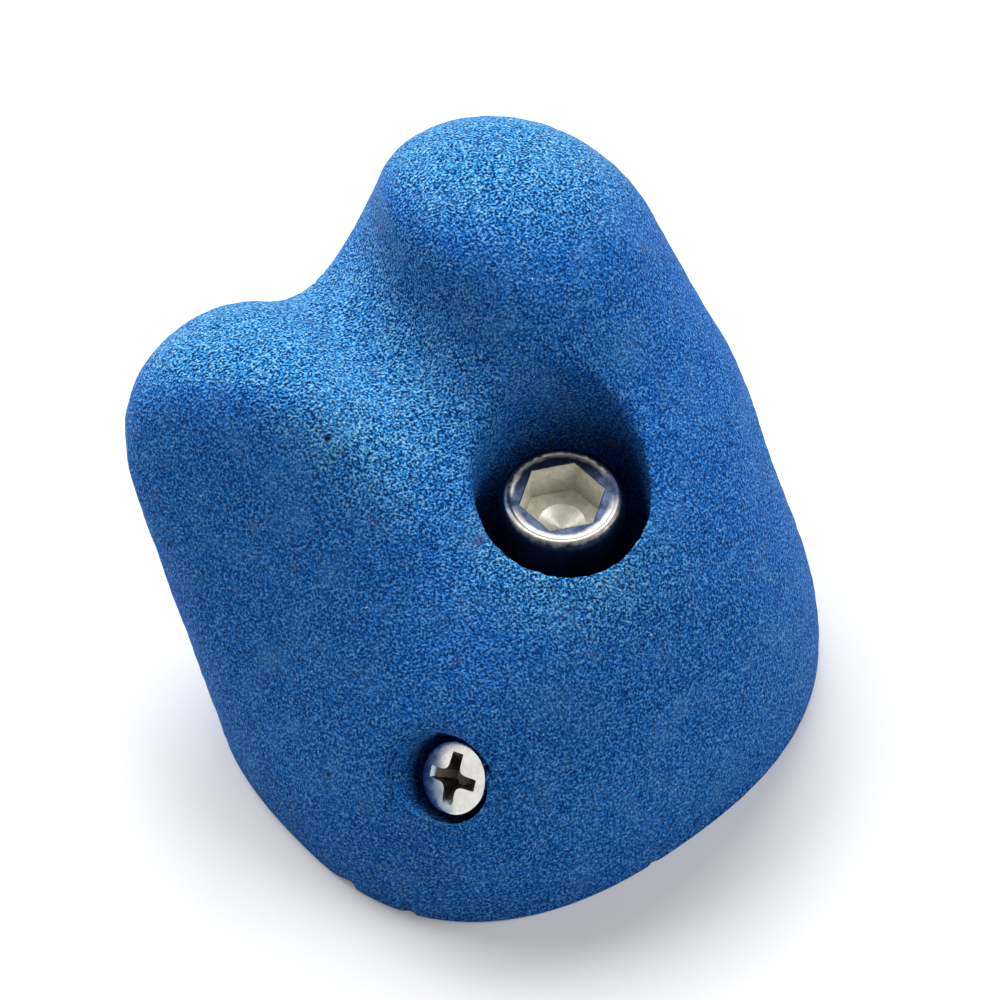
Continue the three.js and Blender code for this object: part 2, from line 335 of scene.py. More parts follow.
def resinDistance(p):
    # The masses less the set screw's recess, so that its rim comes out softened. It lies a little off the
    # screw's axis.
    face, outwards = screwAxis()
    away = p - ontoScrewAxis(np.array([*screwHole["slip"], 0.0]))
    radius = np.linalg.norm(away - (away @ outwards)[..., None] * outwards, axis=-1)
    recess = np.maximum(radius - screwHole["recessRadius"], -screwHole["seatDepth"] - away @ outwards)
    return softMost([massDistance(p), -recess], screwHole["rimBlend"])


def leavingLengths(start, directions, field, least=0.0, most=resinShape["reach"]):
    # Halves the stretch between inside and outside to find the surface, for all rays at once.
    inside = np.broadcast_to(least, directions.shape[:-1])
    outside = np.broadcast_to(most, directions.shape[:-1])
    for _ in range(resinShape["halvings"]):
        middle = (inside + outside) / 2
        within = field(start + middle[..., None] * directions) < 0
        inside = np.where(within, middle, inside)
        outside = np.where(within, outside, middle)
    return (inside + outside) / 2


def leavingPoints(start, directions, field):
    # Where the rays leave the shape: start + length direction.
    return start + leavingLengths(start, directions, field)[..., None] * directions


def softenedPoints(start, directions):
    # The smooth surface, drawn in a little where the rim of the set screw's recess is rounded off.
    length = leavingLengths(start, directions, massDistance)
    least = length - screwHole["rimReach"]
    drawnIn = leavingLengths(start, directions, resinDistance, least, length)
    overHole = resinDistance(start + least[..., None] * directions) > 0
    return start + np.where(overHole, length, drawnIn)[..., None] * directions


def bentCorner(first, corner, last, steps):
    # A corner drawn as a curve: (1-t)^2 first + 2 t (1-t) corner + t^2 last.
    t = np.linspace(0, 1, steps)[:, None, None]
    return (1 - t) ** 2 * first + 2 * t * (1 - t) * corner + t ** 2 * last


def straightRows(first, last, steps):
    # Even steps from one row of points to another: first + (last - first) t.
    t = np.linspace(0, 1, steps)[:, None, None]
    return first + (last - first) * t


def resinGrid():
    # Each column is an upright cut from the bolt's axis: back, outside, rim, recess, seat and bore.
    shape = resinShape
    angle = roundAngles(shape["columns"])
    flat = np.zeros_like(angle)
    outwards = np.stack([np.cos(angle), np.sin(angle), flat], axis=-1)
    up = np.array([0.0, 0.0, 1.0])
    core = np.array([0.0, 0.0, shape["coreHeight"]])
    recess = boltHole["recessRadius"]
    rimLine = leavingPoints(outwards * recess + core, np.broadcast_to(up, outwards.shape), massDistance)
    footLine = leavingPoints(np.zeros(3), outwards, massDistance)

    # The outside between foot and rim, first in even steps of angle and then in even steps of length. The
    # rim is rounded most on the side of the knuckles.
    footRise = -np.arctan2(core[2], np.linalg.norm(footLine, axis=-1))
    rimRise = np.arctan2(rimLine[:, 2] - core[2], recess)
    share = np.linspace(0, 1, 3 * shape["outsideRows"])[:, None]
    rise = footRise + (rimRise - footRise) * share
    rays = np.cos(rise)[..., None] * outwards + np.sin(rise)[..., None] * up
    coarse = leavingPoints(core, rays, massDistance)
    steps = np.linalg.norm(np.diff(coarse, axis=0), axis=-1)
    length = np.concatenate([flat[None], np.cumsum(steps, axis=0)])
    whole = length[-1]
    softness = (1 + np.sin(angle)) / 2
    rimRound = boltHole["frontRound"] + (boltHole["backRound"] - boltHole["frontRound"]) * softness
    first = boltHole["footRound"] / whole
    last = 1 - rimRound / whole
    wanted = first + (last - first) * np.linspace(0, 1, shape["outsideRows"])[:, None]
    column = 2 * np.arange(len(angle))
    known = (length / whole + column).T.ravel()
    rise = np.interp((wanted + column).T.ravel(), known, rise.T.ravel()).reshape(len(angle), -1).T
    rays = np.cos(rise)[..., None] * outwards + np.sin(rise)[..., None] * up
    outside = softenedPoints(core, rays)

    steps = boltHole["roundSteps"]
    rimFoot = rimLine - rimRound[:, None] * up
    footIn = footLine - boltHole["footRound"] * outwards
    seat = ringBox[1][2]
    pocket = ringBox[0][2] - boltHole["seatGap"]
    pocketRadius = ringBox[1][0] + boltHole["seatGap"]
    bore = boltHole["boreRadius"]
    wallFoot = outwards * recess + seat * up
    pocketTop = outwards * pocketRadius + seat * up
    pocketFoot = outwards * pocketRadius + pocket * up
    boreTop = outwards * bore + pocket * up
    boreFoot = outwards * bore
    return np.concatenate([
        straightRows(boreFoot, footIn, shape["backRows"])[:-1],
        bentCorner(footIn, footLine, outside[0], steps)[:-1],
        outside,
        bentCorner(outside[-1], rimLine, rimFoot, steps)[1:],
        straightRows(rimFoot, wallFoot, shape["wallRows"])[1:],
        straightRows(wallFoot, pocketTop, shape["seatRows"])[1:],
        straightRows(pocketTop, pocketFoot, shape["pocketRows"])[1:],
        straightRows(pocketFoot, boreTop, shape["pocketFloorRows"])[1:],
        straightRows(boreTop, boreFoot, shape["boreRows"])[1:-1],
    ])


def ontoScrewAxis(points):
    # From a shape about the z axis with its face at zero height to the leaning axis of the set screw.
    lean = math.radians(screwPlace["lean"])
    turn = np.array([
        [math.cos(lean), 0, -math.sin(lean)],
        [0, 1, 0],
        [math.sin(lean), 0, math.cos(lean)],
    ])
    return points @ turn.T + screwAxis()[0]


def screwHoleTool():
    # One profile for bore, seat and recess. Its rows move over to the recess's own axis above the seat.
    hole = screwHole
    bore = hole["boreRadius"]
    recess = hole["recessRadius"]
    seat = -hole["seatDepth"]
    profile = np.array([
        (bore, -hole["inReach"], 0),
        (bore, -hole["neckDepth"], 0),
        (hole["seatRadius"], seat, 0),
        (recess, seat + hole["seatEdge"], 1),
        (recess, hole["outReach"], 1),
    ])
    angle = roundAngles(hole["columns"])
    grid = turnedGrid(profile[:, :1], profile[:, 1:2], angle)
    slip = np.array([*hole["slip"], 0.0])
    grid = grid + profile[:, 2:, None] * slip
    low = np.array([0, 0, profile[0, 1]])
    high = np.array([0, 0, profile[-1, 1]]) + slip
    return capped("screw_hole_tool", ontoScrewAxis(grid), *ontoScrewAxis(np.array([low, high])))


# Grain of the cast surface, and the direction from which the light falls; surfaces that look that way get
# the coarse palette's painted highlights and shade.
resinGrain = {
    "seed": 41,
    "coarseWave": 3.4,
    "coarseDepth": 0.1,
    "fineWave": 1.3,
    "fineDepth": 0.16,
    "rimWave": 0.7,
    "rimDepth": 0.22,
    "rimReach": 0.9,
    "pits": 60,
    "pitRadius": (0.3, 0.6),
    "pitDepth": 0.5,
    "pitMargin": 1.0,
    "fadeHeight": 1.2,
    "wallGap": 0.01,
    "lightSide": (0.35, 0.45, 0.82),
    "sharpAngle": 50,
}

# Chips out of the edge of the back: the turn of each, how wide it is on either side, and its depth.
edgeChips = {
    "chips": (
        (185.6, 3.4, 1.1, 0.75),
        (197.6, 1.7, 1.0, 0.6),
        (248.0, 1.4, 1.6, 0.35),
        (41.0, 1.3, 1.8, 0.4),
    ),
    "height": 1.5,
    "fromRecess": 5.0,
}


def grainDepth(points):
    # How far the cast surface lies below the smooth one: two sizes of lump, a ragged rim round the bolt's
    # recess, and round pits with soft edges.
    grain = resinGrain
    seed = grain["seed"]
    coarse = (1 - valueNoise(points, grain["coarseWave"], seed)) / 2
    fine = (1 - valueNoise(points, grain["fineWave"], seed + 1)) / 2
    ragged = (1 - valueNoise(points, grain["rimWave"], seed + 3)) / 2
    fromBolt = np.linalg.norm(points[:, :2], axis=1)
    nearRim = np.exp(-((fromBolt - boltHole["recessRadius"]) / grain["rimReach"]) ** 2)
    depth = grain["coarseDepth"] * coarse + grain["fineDepth"] * fine
    depth += grain["rimDepth"] * ragged * nearRim
    random = np.random.default_rng(seed + 2)
    outside = np.flatnonzero(fromBolt > boltHole["recessRadius"] + grain["pitMargin"])
    centres = points[random.choice(outside, grain["pits"], replace=False)]
    radii = random.uniform(*grain["pitRadius"], grain["pits"])
    for centre, radius in zip(centres, radii):
        away = np.linalg.norm(points - centre, axis=1) / radius
        depth += grain["pitDepth"] * radius * np.exp(-(away ** 4))
    return depth


def chippedPoints(points):
    # Draws the foot of the outside in towards the bolt's axis. A chip deepens evenly from its two ends to
    # its middle.
    turn = np.degrees(np.arctan2(points[:, 1], points[:, 0]))
    fromBolt = np.linalg.norm(points[:, :2], axis=1)
    drawn = np.zeros(len(points))
    for middle, before, after, depth in edgeChips["chips"]:
        away = (turn - middle + 180) % 360 - 180
        share = np.where(away < 0, -away / before, away / after)
        drawn += depth * np.clip(1 - share, 0, 1)
    drawn *= np.clip(1 - points[:, 2] / edgeChips["height"], 0, 1)
    drawn *= fromBolt > boltHole["recessRadius"] + edgeChips["fromRecess"]
    return points * (1 - drawn / np.maximum(fromBolt, 1))[:, None] ** np.array([1, 1, 0])


def makeResinBody():
    # The grain fades out towards the flat back and the foot of the bolt's recess. The attribute "facing"
    # says how far each point looks towards the light, where the coarse palette paints highlights and shade:
    # 1 straight at it and 0 square to it.
    body = looped("resin_body", resinGrid())
    cutWith(body, screwHoleTool())
    mesh = body.data
    points = vectorsOf(mesh.vertices, "co") / mm
    normals = vectorsOf(mesh.vertex_normals, "vector")
    facing = mesh.attributes.new("facing", "FLOAT", "POINT")
    facing.data.foreach_set("value", normals @ np.array(resinGrain["lightSide"]))
    fromBolt = np.linalg.norm(points[:, :2], axis=1)
    deep = np.clip((points[:, 2] - ringBox[1][2]) / resinGrain["fadeHeight"], 0, 1)
    inRecess = np.where(fromBolt < boltHole["recessRadius"] + resinGrain["wallGap"], deep, 1)
    raised = np.clip(points[:, 2] / resinGrain["fadeHeight"], 0, 1)
    depth = grainDepth(points) * raised * inRecess
    points = chippedPoints(points - normals * depth[:, None])
    mesh.vertices.foreach_set("co", (points * mm).ravel())
    smoothMesh(mesh, resinGrain["sharpAngle"])
    mesh.update()
    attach(body, "hold")
    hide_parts("hold_body")
    return body


resinBody = makeResinBody()
print("resin body made,", len(resinBody.data.polygons), "faces")


# The seat ring cast into the resin under the bolt's head.
ringShape = {
    "boreRadius": 5.5,
    "edgeRound": 0.4,
    "columns": 120,
    "roundSteps": 5,
}


def makeSeatRing():
    # A flat ring turned from its section: square at the back, with both front edges rounded.
    low = ringBox[0][2]
    high = ringBox[1][2]
    outer = ringBox[1][0]
    edge = ringShape["edgeRound"]
    bore = ringShape["boreRadius"]
    steps = ringShape["roundSteps"]
    outerEdge = quarterRound(outer - edge, high - edge, edge, edge, steps)
    innerEdge = quarterRound(bore + edge, high - edge, -edge, edge, steps)
    profile = np.array([(bore, low), (outer, low)] + outerEdge + innerEdge[::-1])
    grid = turnedGrid(profile[:, :1], profile[:, 1:], roundAngles(ringShape["columns"]))
    ring = looped("seat_ring", grid)
    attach(ring, "hold")
    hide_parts("bolt_seat_ring")
    return ring


seatRing = makeSeatRing()
print("seat ring made")


# The wall bolt: threaded shank, round head with a raised rim, hexagon socket with a drilled foot. A crease
# is the gap to one more row of points, which keeps an edge crisp.
boltShape = {
    "threadRadius": 5.0,
    "threadDepth": 0.9,
    "threadLength": 30.0,
    "threadRunOut": 0.6,
    "pitch": 1.5,
    "rowsPerTurn": 10,
    "endChamfer": 1.2,
    "neckRadius": 4.4,
    "headRadius": 8.0,
    "underChamfer": 0.35,
    "rimAcross": 0.95,
    "rimUp": 1.4,
    "rimFlat": 0.12,
    "rimSteps": 14,
    "dishWidth": 0.4,
    "dishDepth": 0.13,
    "dishRound": (0.14, 0.03),
    "dishCrease": 0.05,
    "socketAcross": 9.65,
    "socketDepth": 5.8,
    "socketTurn": 29.0,
    "socketRows": 8,
    "mouthEdge": 0.12,
    "mouthShare": 0.3,
    "mouthCrease": 0.04,
    "drillRadius": 3.0,
    "drillDepth": 1.3,
    "drillEdge": (0.1, 0.06),
    "drillTip": (0.3, 1.2),
    "drillRows": 8,
    "columns": 144,
    "sharpAngle": 35,
}


def threadRadius(angle, height, outer, depth, pitch, rootShare=0.2, flankShare=0.65):
    # A wave that climbs one pitch a turn, cut off flat at its crests and its roots.
    phase = (height / pitch - angle / (2 * np.pi)) % 1
    wave = np.abs(2 * phase - 1)
    return outer - depth + depth * np.clip((wave - rootShare) / flankShare, 0, 1)


def hexagonRadius(angle, across, turn):
    # Flat sides: half the width across flats over the cosine of the angle from the middle of the side.
    side = (angle - np.radians(turn)) % (np.pi / 3) - np.pi / 6
    return across / 2 / np.cos(side)


def boltThreadRows(angle, foot):
    # The thread, narrowed evenly to the chamfer at the bolt's end.
    shape = boltShape
    length = shape["threadLength"]
    outer = shape["threadRadius"]
    rows = int(length / shape["pitch"] * shape["rowsPerTurn"])
    height = np.linspace(0, length - shape["threadRunOut"], rows)[:, None]
    thread = threadRadius(angle, height, outer, shape["threadDepth"], shape["pitch"])
    taper = outer - shape["endChamfer"] + height
    return turnedGrid(np.minimum(thread, taper), foot + height, angle)


def boltHeadRows(angle, under, top):
    # The head turned from its section: underside, side, round rim, the drop to the dished face, the face.
    shape = boltShape
    head = shape["headRadius"]
    chamfer = shape["underChamfer"]
    rim = head - shape["rimAcross"]
    lip = rim - shape["rimFlat"]
    dish = lip - shape["dishWidth"]
    face = top - shape["dishDepth"]
    roundAcross, roundUp = shape["dishRound"]
    mouth = shape["socketAcross"] / math.sqrt(3) + 2 * shape["mouthEdge"]
    side = [
        (shape["neckRadius"], under),
        (head - chamfer, under),
        (head, under + chamfer),
        (head, (under + top) / 2),
    ]
    edge = quarterRound(rim, top - shape["rimUp"], shape["rimAcross"], shape["rimUp"], shape["rimSteps"])
    inwards = [
        (lip, top),
        (dish + roundAcross, face + roundUp),
        (dish, face),
        (dish - shape["dishCrease"], face),
        (mouth, face),
    ]
    rows = np.array(side + edge + inwards)
    return turnedGrid(rows[:, :1], rows[:, 1:], angle)


def boltSocketRows(angle, face):
    # The hexagon's softened mouth, its walls and its floor, and the cone that the drill left in the floor.
    shape = boltShape
    socket = hexagonRadius(angle, shape["socketAcross"], shape["socketTurn"])
    edge = shape["mouthEdge"]
    part = shape["mouthShare"] * edge
    floor = face - shape["socketDepth"]
    drill = shape["drillRadius"]
    across, down = shape["drillEdge"]
    tipRadius, tipDepth = shape["drillTip"]
    wall = np.linspace(face - 2 * edge, floor, shape["socketRows"])
    coneRadius = np.linspace(drill - across, tipRadius, shape["drillRows"])
    coneHeight = np.linspace(floor - down, floor - tipDepth, shape["drillRows"])
    return np.concatenate([
        turnedGrid(socket + edge + shape["mouthCrease"], face, angle)[None],
        turnedGrid(socket + edge, face, angle)[None],
        turnedGrid(socket + part, face - part, angle)[None],
        turnedGrid(socket, face - edge, angle)[None],
        turnedGrid(socket[None], wall[:, None], angle),
        turnedGrid(drill + across, floor, angle)[None],
        turnedGrid(drill, floor, angle)[None],
        turnedGrid(coneRadius[:, None], coneHeight[:, None], angle),
    ])


def makeBolt():
    angle = roundAngles(boltShape["columns"], boltShape["socketTurn"])
    foot = boltBox[0][2]
    top = boltBox[1][2]
    face = top - boltShape["dishDepth"]
    grid = np.concatenate([
        boltThreadRows(angle, foot),
        boltHeadRows(angle, foot + boltShape["threadLength"], top),
        boltSocketRows(angle, face),
    ])
    drillTip = face - boltShape["socketDepth"] - boltShape["drillDepth"]
    bolt = capped("socket_bolt", grid, [0, 0, foot], [0, 0, drillTip], boltShape["sharpAngle"])
    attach(bolt, "bolt")
    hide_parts("wall_bolt")
    return bolt


wallBolt = makeBolt()
print("wall bolt made,", len(wallBolt.data.polygons), "faces")


# The set screw: countersunk head with a cross recess, threaded shank and a point.
screwShape = {
    "headRadius": 4.65,
    "headEdge": 0.5,
    "headRound": ((0.0, -0.12), (0.04, -0.03)),
    "dome": 0.5,
    "domeReach": (0.12, 0.4),
    "domeRows": 14,
    "threadRadius": 2.5,
    "threadDepth": 0.85,
    "pitch": 2.4,
    "rowsPerTurn": 14,
    "tipRadius": 0.25,
    "tipGap": 0.3,
    "tipLength": 5.0,
    "columns": 120,
    "sharpAngle": 30,
}

# Its cross recess. The draft shares say how much of the length, width and core is lost at its foot.
crossShape = {
    "half": 3.6,
    "width": 1.6,
    "core": 1.5,
    "depth": 2.6,
    "tipDepth": 0.35,
    "turn": 20.0,
    "draftShares": (0.72, 0.25, 0.45),
    "rowShares": (-0.6, 0.0, 0.35, 0.7, 0.9, 1.0),
    "columns": 240,
}


def crossTool():
    # In plan two crossed slots whose inner corners are filled by a round core: (slot^6 + core^6)^(1/6). Its
    # rows start above the head, so that the recess is open at the top.
    shape = crossShape
    angle = roundAngles(shape["columns"], shape["turn"])
    side = (angle - np.radians(shape["turn"]) + np.pi / 4) % (np.pi / 2) - np.pi / 4
    share = np.array(shape["rowShares"])[:, None]
    depth = np.clip(share, 0, 1)
    half, width, core = (1 - lost * depth for lost in shape["draftShares"])
    end = shape["half"] * half / np.cos(side)
    flank = shape["width"] / 2 * width / np.maximum(np.abs(np.sin(side)), 1e-6)
    slot = np.minimum(end, flank)
    core = shape["core"] * core
    radius = (slot ** 6 + core ** 6) ** (1 / 6)
    height = screwShape["dome"] - share * (shape["depth"] + screwShape["dome"])
    grid = turnedGrid(radius, height, angle)[::-1]
    poles = np.array([[0, 0, grid[0, 0, 2] - shape["tipDepth"]], [0, 0, grid[-1, 0, 2]]])
    return capped("cross_tool", ontoScrewAxis(grid), *ontoScrewAxis(poles))


def makeScrew():
    # Thread, narrowed evenly to the point, then the cone under the head, its edge and the dome:
    # height = dome (1 - (radius / head)^2).
    shape = screwShape
    angle = roundAngles(shape["columns"])
    length = screwPlace["length"]
    outer = shape["threadRadius"]
    head = shape["headRadius"]
    coneFoot = -shape["headEdge"] - (head - outer)
    start = -length + shape["tipGap"]
    turns = (coneFoot - start) / shape["pitch"]
    height = np.linspace(start, coneFoot, int(turns * shape["rowsPerTurn"]))[:, None]
    thread = threadRadius(angle, height, outer, shape["threadDepth"], shape["pitch"])
    tip = shape["tipRadius"]
    taper = tip + (height + length) * (outer - tip) / shape["tipLength"]
    domeEdge, domeMiddle = shape["domeReach"]
    dome = np.linspace(head - domeEdge, domeMiddle, shape["domeRows"])
    domeHeight = shape["dome"] * (1 - (dome / head) ** 2)
    edge = [(head - inwards, up) for inwards, up in shape["headRound"]]
    rows = np.array([(head, -shape["headEdge"])] + edge + list(zip(dome, domeHeight)))
    grid = np.concatenate([
        turnedGrid(np.minimum(thread, taper), height, angle),
        turnedGrid(rows[:, :1], rows[:, 1:], angle),
    ])
    poles = np.array([[0, 0, -length], [0, 0, shape["dome"]]])
    screw = capped("cross_screw", ontoScrewAxis(grid), *ontoScrewAxis(poles), shape["sharpAngle"])
    cutWith(screw, crossTool())
    smoothMesh(screw.data, shape["sharpAngle"])
    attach(screw, "screw")
    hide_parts("set_screw")
    return screw


setScrew = makeScrew()
print("set screw made,", len(setScrew.data.polygons), "faces")


# Material helpers. An input is given a number, a vector, a colour or the output of another node.
def setInputs(tree, node, values):
    for name, value in values.items():
        socket = node.inputs[name]
        if isinstance(value, bpy.types.NodeSocket):
            tree.links.new(value, socket)
        else:
            socket.default_value = (*value, 1) if socket.type == "RGBA" else value


def addNode(tree, kind, values=None, **settings):
    node = tree.nodes.new(kind)
    for name, value in settings.items():
        setattr(node, name, value)
    setInputs(tree, node, values or {})
    return node


def emptyTree(owner):
    owner.use_nodes = True
    owner.node_tree.nodes.clear()
    return owner.node_tree


def newMaterial(name):
    material = bpy.data.materials.new(name)
    tree = emptyTree(material)
    surface = addNode(tree, "ShaderNodeBsdfPrincipled")
    addNode(tree, "ShaderNodeOutputMaterial", {"Surface": surface.outputs["BSDF"]})
    return material, tree, surface


def millimetres(tree):
    # Object coordinates in millimetres, so that texture scales read as lumps a millimetre.
    place = addNode(tree, "ShaderNodeTexCoord").outputs["Object"]
    scaled = addNode(tree, "ShaderNodeMapping", {"Vector": place, "Scale": (1 / mm,) * 3})
    return scaled.outputs["Vector"]


def noise(tree, place, scale, detail, roughness):
    values = {"Vector": place, "Scale": scale, "Detail": detail, "Roughness": roughness}
    return addNode(tree, "ShaderNodeTexNoise", values).outputs["Fac"]


def ranged(tree, value, low, high, toLow=0.0, toHigh=1.0):
    values = {"Value": value, "From Min": low, "From Max": high, "To Min": toLow, "To Max": toHigh}
    return addNode(tree, "ShaderNodeMapRange", values).outputs["Result"]


def combined(tree, operation, first, second):
    node = addNode(tree, "ShaderNodeMath", {0: first, 1: second}, operation=operation)
    return node.outputs["Value"]


def mixed(tree, factor, first, second):
    # The node has several sockets of each name: 6 and 7 take its colours, and 2 gives their mix.
    node = addNode(tree, "ShaderNodeMix", {0: factor, 6: first, 7: second}, data_type="RGBA")
    return node.outputs[2]


def product(tree, first, *others):
    for other in others:
        first = combined(tree, "MULTIPLY", first, other)
    return first


def patches(tree, place, texture, limits):
    return ranged(tree, noise(tree, place, *texture), *limits)


def vectorMath(tree, operation, *values):
    node = addNode(tree, "ShaderNodeVectorMath", dict(enumerate(values)), operation=operation)
    return node.outputs["Value" if operation in ("DOT_PRODUCT", "LENGTH") else "Vector"]


def alongDirection(tree, place, centre, direction):
    # How far a place lies from a centre in one direction, in millimetres.
    return vectorMath(tree, "DOT_PRODUCT", vectorMath(tree, "SUBTRACT", place, centre), direction)


def cosineTo(tree, place, side, radius):
    # Cosine of the angle, seen along the bolt's axis, between a place and a side.
    return combined(tree, "DIVIDE", alongDirection(tree, place, (0, 0, 0), side), radius)


def fromAxis(tree, place, centre, direction):
    # Distance from an axis: the length of the cross product with the axis's direction.
    away = vectorMath(tree, "SUBTRACT", place, centre)
    return vectorMath(tree, "LENGTH", vectorMath(tree, "CROSS_PRODUCT", away, direction))


# Resin: sand-like grains with cloudy patches, scuffs, a few pin-holes and bright specks. The grains take a
# quiet palette, the resin's own tones, and a coarse palette, a lit copy with painted highlights on the
# grains and painted shade between them where the light falls. The pin-holes are painted near black as shade
# in them, and the specks are glossy with a painted glint. A texture is the scale, detail and roughness of a
# noise. Dots are the scale of their cells, the share of the cells that hold one, and the radii between
# which a dot fades out.
# Each dot's radii are larger or smaller by a random factor between the two dotSizes.
resinLook = {
    "quiet": {
        "deep": (0.001, 0.05, 0.26),
        "main": (0.002, 0.19, 0.74),
        "pale": (0.17, 0.5, 0.97),
        "deepRange": (0.5, 0.38),
        "paleRange": (0.52, 0.68),
    },
    # The coarse palette is a lit copy: its deep colour is painted shade between the grains and its pale
    # colour a painted highlight on them.
    "coarse": {
        "deep": (0.0005, 0.022, 0.16),
        "main": (0.004, 0.29, 0.8),
        "pale": (0.42, 0.82, 0.98),
        "deepRange": (0.5, 0.4),
        "paleRange": (0.51, 0.7),
    },
    # Where the coarse palette paints light: surfaces that look towards the light, and the groove.
    "litFacing": (0.45, 0.8),
    # The coarse palette also paints light on the front rim of the bolt's recess, which faces up.
    "litRimSide": (-0.75, -0.66, 0),
    "litRimCosine": (0.1, 0.8),
    "litRimReach": (20.0, 11.0),
    "grooveShift": (-4.5, 0, 0),
    "grooveReach": (17.0, 7.0),
    "grainTexture": (3.0, 1.5, 0.6),
    "cloudTexture": (0.16, 3.0, 0.6),
    "cloudRange": (0.5, 0.8, 0.0, 0.25),
    "scuffTexture": (0.22, 2.0, 0.5),
    "scuffRange": (0.68, 0.8, 0.0, 0.55),
    "scuffed": (0.13, 0.19, 0.42),
    # Pin-holes are painted near black, as painted shade in the holes.
    "shadedPinHole": (0.004, 0.012, 0.05),
    "pinHoleDots": (0.36, 0.05, 0.06, 0.17),
    "pinHoleDepth": 0.8,
    "wanderScale": 1.1,
    "wanderReach": 0.9,
    # Specks: glossy grains whose near-white colour is a painted glint.
    "paintedGlint": (0.75, 0.85, 0.95),
    "glintDots": (1.5, 0.016, 0.1, 0.22),
    "glintGloss": 0.4,
    "dotSizes": (0.6, 1.3),
    "roughness": 0.7,
    "sheen": 0.1,
    "bumpDistance": 1.0,
}


def scatteredDots(tree, place, scale, chosenShare, inner, outer):
    # Soft dots in the middle of some cells of a cell pattern, at random places and of random sizes.
    cells = addNode(tree, "ShaderNodeTexVoronoi", {"Vector": place, "Scale": scale}).outputs
    random = addNode(tree, "ShaderNodeSeparateColor", {"Color": cells["Color"]}).outputs
    size = ranged(tree, random["Green"], 0, 1, *resinLook["dotSizes"])
    away = combined(tree, "DIVIDE", cells["Distance"], size)
    chosen = combined(tree, "LESS_THAN", random["Red"], chosenShare)
    return product(tree, ranged(tree, away, outer, inner), chosen)


def litPaletteShare(tree, place):
    # Share of the coarse palette, a lit copy with painted highlights and shade. It is the most of three
    # shares: how far the surface looks up and back towards the light, and how near the front rim of the
    # bolt's recess, which faces up, and the lit groove are.
    look = resinLook
    facing = addNode(tree, "ShaderNodeAttribute", attribute_name="facing")
    upward = ranged(tree, facing.outputs["Fac"], *look["litFacing"])
    fromBolt = fromAxis(tree, place, (0, 0, 0), (0, 0, 1))
    # Painted light from the coarse palette on the front rim of the recess, which faces up.
    onLitRimSide = ranged(tree, cosineTo(tree, place, look["litRimSide"], fromBolt), *look["litRimCosine"])
    rim = product(tree, ranged(tree, fromBolt, *look["litRimReach"]), onLitRimSide)
    start, end = (np.array(point) for point in resinShape["groove"][:2])
    along = (end - start) / np.linalg.norm(end - start)
    fromGroove = fromAxis(tree, place, start + np.array(look["grooveShift"]), along)
    inGroove = ranged(tree, fromGroove, *look["grooveReach"])
    return combined(tree, "MAXIMUM", combined(tree, "MAXIMUM", upward, rim), inGroove)


def grainColour(tree, height, palette):
    # Deep between the grains, pale on top of them and the main colour on their flanks. In the quiet palette
    # these are the resin's own tones; in the coarse palette the deep colour is painted shade and the pale
    # colour a painted highlight.
    colour = mixed(tree, ranged(tree, height, *palette["deepRange"]), palette["main"], palette["deep"])
    return mixed(tree, ranged(tree, height, *palette["paleRange"]), colour, palette["pale"])


def resinMaterial():
    material, tree, surface = newMaterial("cast_blue_resin")
    look = resinLook
    place = millimetres(tree)
    height = noise(tree, place, *look["grainTexture"])
    quiet = grainColour(tree, height, look["quiet"])
    # A lit copy of the grain colour, with painted highlights and painted shade, laid where the light falls.
    coarse = grainColour(tree, height, look["coarse"])
    colour = mixed(tree, litPaletteShare(tree, place), quiet, coarse)
    cloud = patches(tree, place, look["cloudTexture"], look["cloudRange"])
    colour = mixed(tree, cloud, colour, look["quiet"]["pale"])
    scuff = patches(tree, place, look["scuffTexture"], look["scuffRange"])
    colour = mixed(tree, scuff, colour, look["scuffed"])

    # Pin-holes, painted near black as shade in them, get wandering outlines from places that are shifted
    # by a colour noise.
    wander = addNode(tree, "ShaderNodeTexNoise", {"Vector": place, "Scale": look["wanderScale"]})
    reach = (look["wanderReach"],) * 3
    shifted = vectorMath(tree, "MULTIPLY_ADD", wander.outputs["Color"], reach, place)
    shadedPinHole = scatteredDots(tree, shifted, *look["pinHoleDots"])
    colour = mixed(tree, shadedPinHole, colour, look["shadedPinHole"])
    # Specks get a painted glint colour and a lower roughness.
    paintedGlint = scatteredDots(tree, place, *look["glintDots"])
    colour = mixed(tree, paintedGlint, colour, look["paintedGlint"])
    rough = combined(tree, "SUBTRACT", look["roughness"], product(tree, paintedGlint, look["glintGloss"]))
    sunk = combined(tree, "SUBTRACT", height, product(tree, shadedPinHole, look["pinHoleDepth"]))
    bump = addNode(tree, "ShaderNodeBump", {"Height": sunk, "Distance": look["bumpDistance"] * mm})
    setInputs(tree, surface, {
        "Base Color": colour,
        "Roughness": rough,
        "Specular IOR Level": look["sheen"],
        "Normal": bump.outputs["Normal"],
    })
    return material


# Worn metal: one group for every steel piece, giving a colour, a roughness and a normal.
metalWear = {
    "smudgeTexture": (0.55, 4.0, 0.65),
    "smudgeRange": (0.42, 0.66),
    "scratchStretch": (9, 0.7, 2.2),
    "scratchTurn": (0.3, 0.2, 0.7),  # in radians
    "scratchTexture": (1.0, 3.0, 0.7),
    "scratchRange": (0.6, 0.75),
    "scratchWear": 0.8,
    "pitTexture": (6.0, 2.0, 0.6),
    "pitHeight": 0.5,
    "bumpDistance": 0.01,
}


